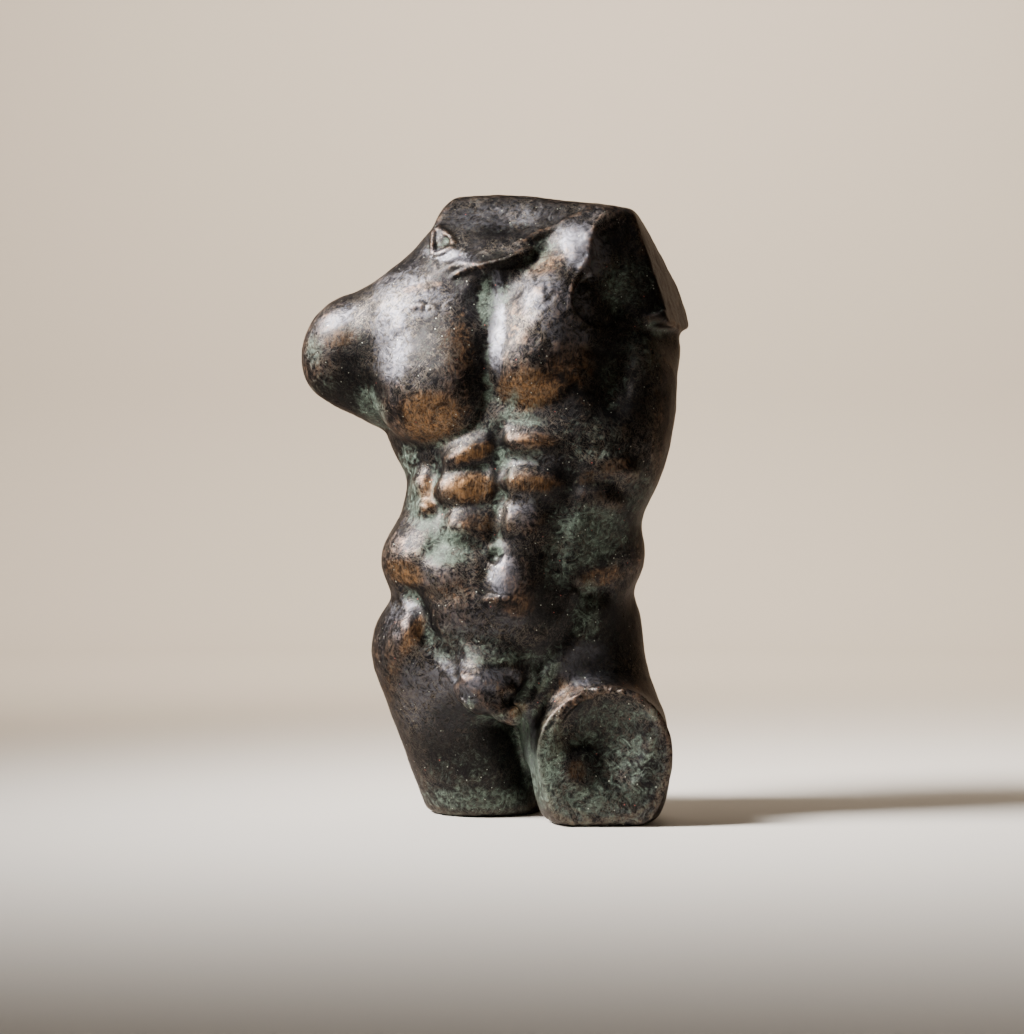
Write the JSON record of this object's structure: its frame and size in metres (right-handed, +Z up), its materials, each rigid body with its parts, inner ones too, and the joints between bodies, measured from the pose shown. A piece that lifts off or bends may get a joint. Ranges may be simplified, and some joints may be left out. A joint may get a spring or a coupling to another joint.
{
  "type": "bronze male torso",
  "caption": "Free-standing bronze torso of a man in the antique manner, without head or arms and with broken thighs, standing on the flat undersides of its thigh stumps.",
  "frame": {"origin": "centre of the bounding box at the flat underside, where the torso stands on its surface", "axes": "+Z up, the chest faces -Y, and +X is to the right of someone who looks at the chest, so the figure's own right arm stump is at -X"},
  "size_m": [0.3792, 0.2098, 0.601],
  "materials": {
    "bronze": "dark brown-black patina over cast bronze, rubbed to copper on the high muscles and green in the hollows, satin"
  },
  "bodies": {
    "root": {"torso": "bronze"}
  },
  "joints": []
}
